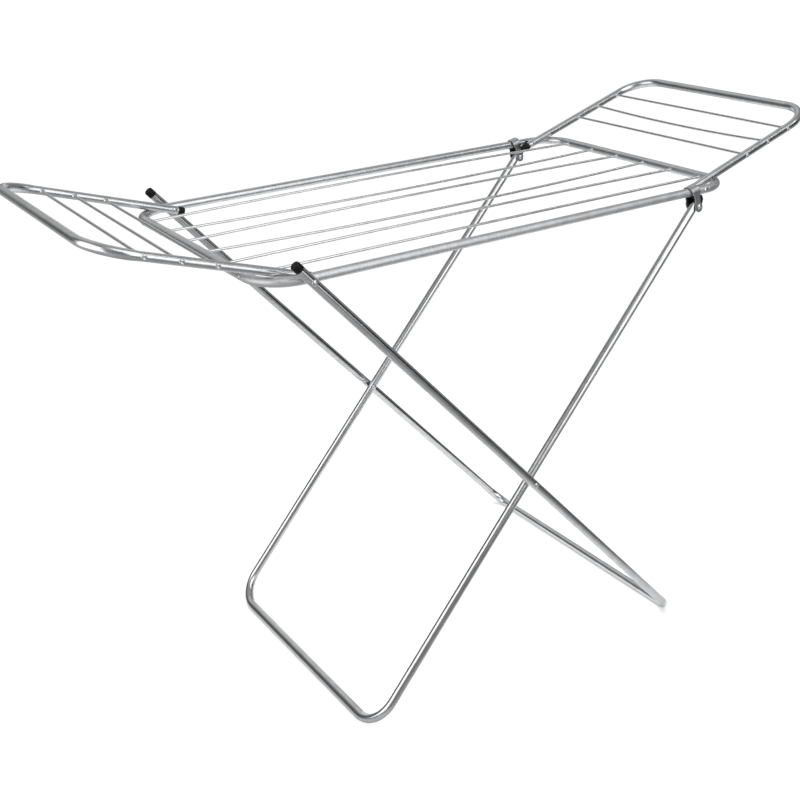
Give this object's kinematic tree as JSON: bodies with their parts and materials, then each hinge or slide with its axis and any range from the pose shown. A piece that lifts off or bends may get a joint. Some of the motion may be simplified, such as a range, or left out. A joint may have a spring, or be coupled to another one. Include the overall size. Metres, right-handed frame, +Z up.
{
  "type": "clothes drying rack",
  "caption": "Folding clothes airer: rounded tube deck strung with wires, a hinged wing at each end, and crossed U-shaped legs, one hinged and one sliding in collars.",
  "frame": {"origin": "on the floor, under the middle of the deck", "axes": "+X along the deck towards the sliding collars, +Y across it, +Z up"},
  "size_m": [1.44, 0.611, 0.9538],
  "materials": {
    "tube_steel": "bright plated steel tube, mirror-like with faint draw lines",
    "wire_steel": "bright plated drawn wire",
    "strap_steel": "plated strip steel, slightly duller than the tube",
    "rivet_steel": "plated rivet, satin domed head",
    "black_plastic": "moulded black plastic, low sheen"
  },
  "bodies": {
    "deck": {"deck_frame": "tube_steel", "deck_wire_1": "wire_steel", "deck_wire_2": "wire_steel", "deck_wire_3": "wire_steel", "deck_wire_4": "wire_steel", "deck_wire_5": "wire_steel", "deck_wire_6": "wire_steel", "pivot_rivet_left_front": "rivet_steel", "wing_spacer_left_front": "black_plastic", "pivot_rivet_right_front": "rivet_steel", "wing_spacer_right_front": "black_plastic", "leg_hinge_washer_front": "black_plastic", "pivot_rivet_left_back": "rivet_steel", "wing_spacer_left_back": "black_plastic", "pivot_rivet_right_back": "rivet_steel", "wing_spacer_right_back": "black_plastic", "leg_hinge_washer_back": "black_plastic"},
    "wing_left": {"wing_left_frame": "tube_steel", "wing_left_wire_1": "wire_steel", "wing_left_wire_2": "wire_steel", "wing_left_wire_3": "wire_steel", "wing_left_cap_front": "black_plastic", "wing_left_cap_back": "black_plastic"},
    "wing_right": {"wing_right_frame": "tube_steel", "wing_right_wire_1": "wire_steel", "wing_right_wire_2": "wire_steel", "wing_right_wire_3": "wire_steel", "wing_right_cap_front": "black_plastic", "wing_right_cap_back": "black_plastic"},
    "leg_outer": {"leg_outer_frame": "tube_steel", "leg_outer_cap_front": "black_plastic", "cross_rivet_front": "rivet_steel", "cross_washer_front": "black_plastic", "leg_outer_cap_back": "black_plastic", "cross_rivet_back": "rivet_steel", "cross_washer_back": "black_plastic"},
    "leg_inner": {"leg_inner_frame": "tube_steel", "leg_inner_plug_front": "black_plastic", "leg_inner_plug_back": "black_plastic"},
    "collar_front": {"collar_strap_front": "strap_steel", "collar_saddle_front": "black_plastic", "collar_rivet_front": "rivet_steel"},
    "collar_back": {"collar_strap_back": "strap_steel", "collar_saddle_back": "black_plastic", "collar_rivet_back": "rivet_steel"}
  },
  "joints": [
    {"name": "wing_left_hinge", "type": "hinge", "parent": "deck", "child": "wing_left", "pos_m": [-0.4045, 0, 0.846], "axis": [0, 1, 0], "range_deg": [0, 157.5]},
    {"name": "wing_right_hinge", "type": "hinge", "parent": "deck", "child": "wing_right", "pos_m": [0.4045, 0, 0.846], "axis": [0, -1, 0], "range_deg": [0, 157.5]},
    {"name": "leg_outer_hinge", "type": "hinge", "parent": "deck", "child": "leg_outer", "pos_m": [-0.4045, 0, 0.846], "axis": [0, 1, 0], "range_deg": [0, 39]},
    {"name": "leg_cross_hinge", "type": "hinge", "parent": "leg_outer", "child": "leg_inner", "pos_m": [-0.00534, 0, 0.3852], "axis": [0, -1, 0], "range_deg": [0, 79]},
    {"name": "collar_front_hinge", "type": "hinge", "parent": "leg_inner", "child": "collar_front", "pos_m": [0.384, -0.275, 0.82], "axis": [0, 1, 0], "range_deg": [0, 40]},
    {"name": "collar_back_hinge", "type": "hinge", "parent": "leg_inner", "child": "collar_back", "pos_m": [0.384, 0.275, 0.82], "axis": [0, 1, 0], "range_deg": [0, 40]}
  ],
  "couplings": [
    {"joint": "leg_cross_hinge", "follows": "leg_outer_hinge", "ratio": 2.0231},
    {"joint": "collar_front_hinge", "follows": "leg_outer_hinge", "ratio": 1.0231},
    {"joint": "collar_back_hinge", "follows": "leg_outer_hinge", "ratio": 1.0231}
  ]
}
